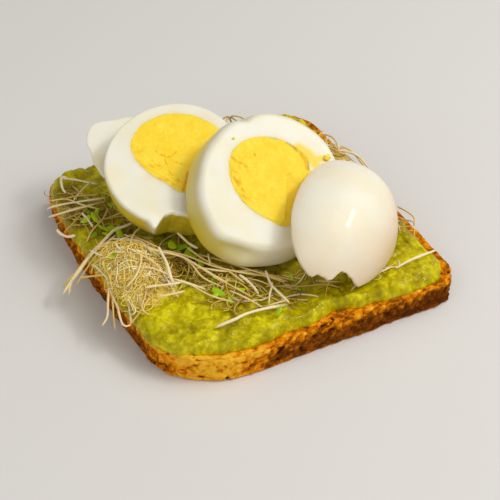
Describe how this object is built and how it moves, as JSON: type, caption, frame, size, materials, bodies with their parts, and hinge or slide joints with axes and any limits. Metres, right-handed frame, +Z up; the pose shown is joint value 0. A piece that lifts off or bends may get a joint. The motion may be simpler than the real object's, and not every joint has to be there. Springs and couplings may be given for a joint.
{
  "type": "egg toast",
  "caption": "Open toast: a slice of toasted bread with mashed avocado, a tangle of sprouts and a sliced boiled egg whose pieces lean on one another.",
  "frame": {"origin": "centre of the bread's flat underside", "axes": "+Z up, out of the toast's top; +X along the front edge of the slice to the right; +Y away from the front edge"},
  "size_m": [0.116, 0.1088, 0.0474],
  "materials": {
    "toasted_bread": "rough toasted crumb, golden brown, darker at the sides",
    "avocado": "moist lumpy mash, yellow green",
    "sprouts": "thin pale stems with small green leaves",
    "egg_white": "smooth moist cooked white",
    "egg_yolk": "crumbly cooked yolk, warm yellow"
  },
  "bodies": {
    "root": {"bread_slice": "toasted_bread", "avocado_mash": "avocado", "sprout_bed": "sprouts", "egg_end_white": "egg_white", "egg_back_white": "egg_white", "egg_back_yolk": "egg_yolk", "egg_front_white": "egg_white", "egg_front_yolk": "egg_yolk", "egg_cap_white": "egg_white"}
  },
  "joints": []
}
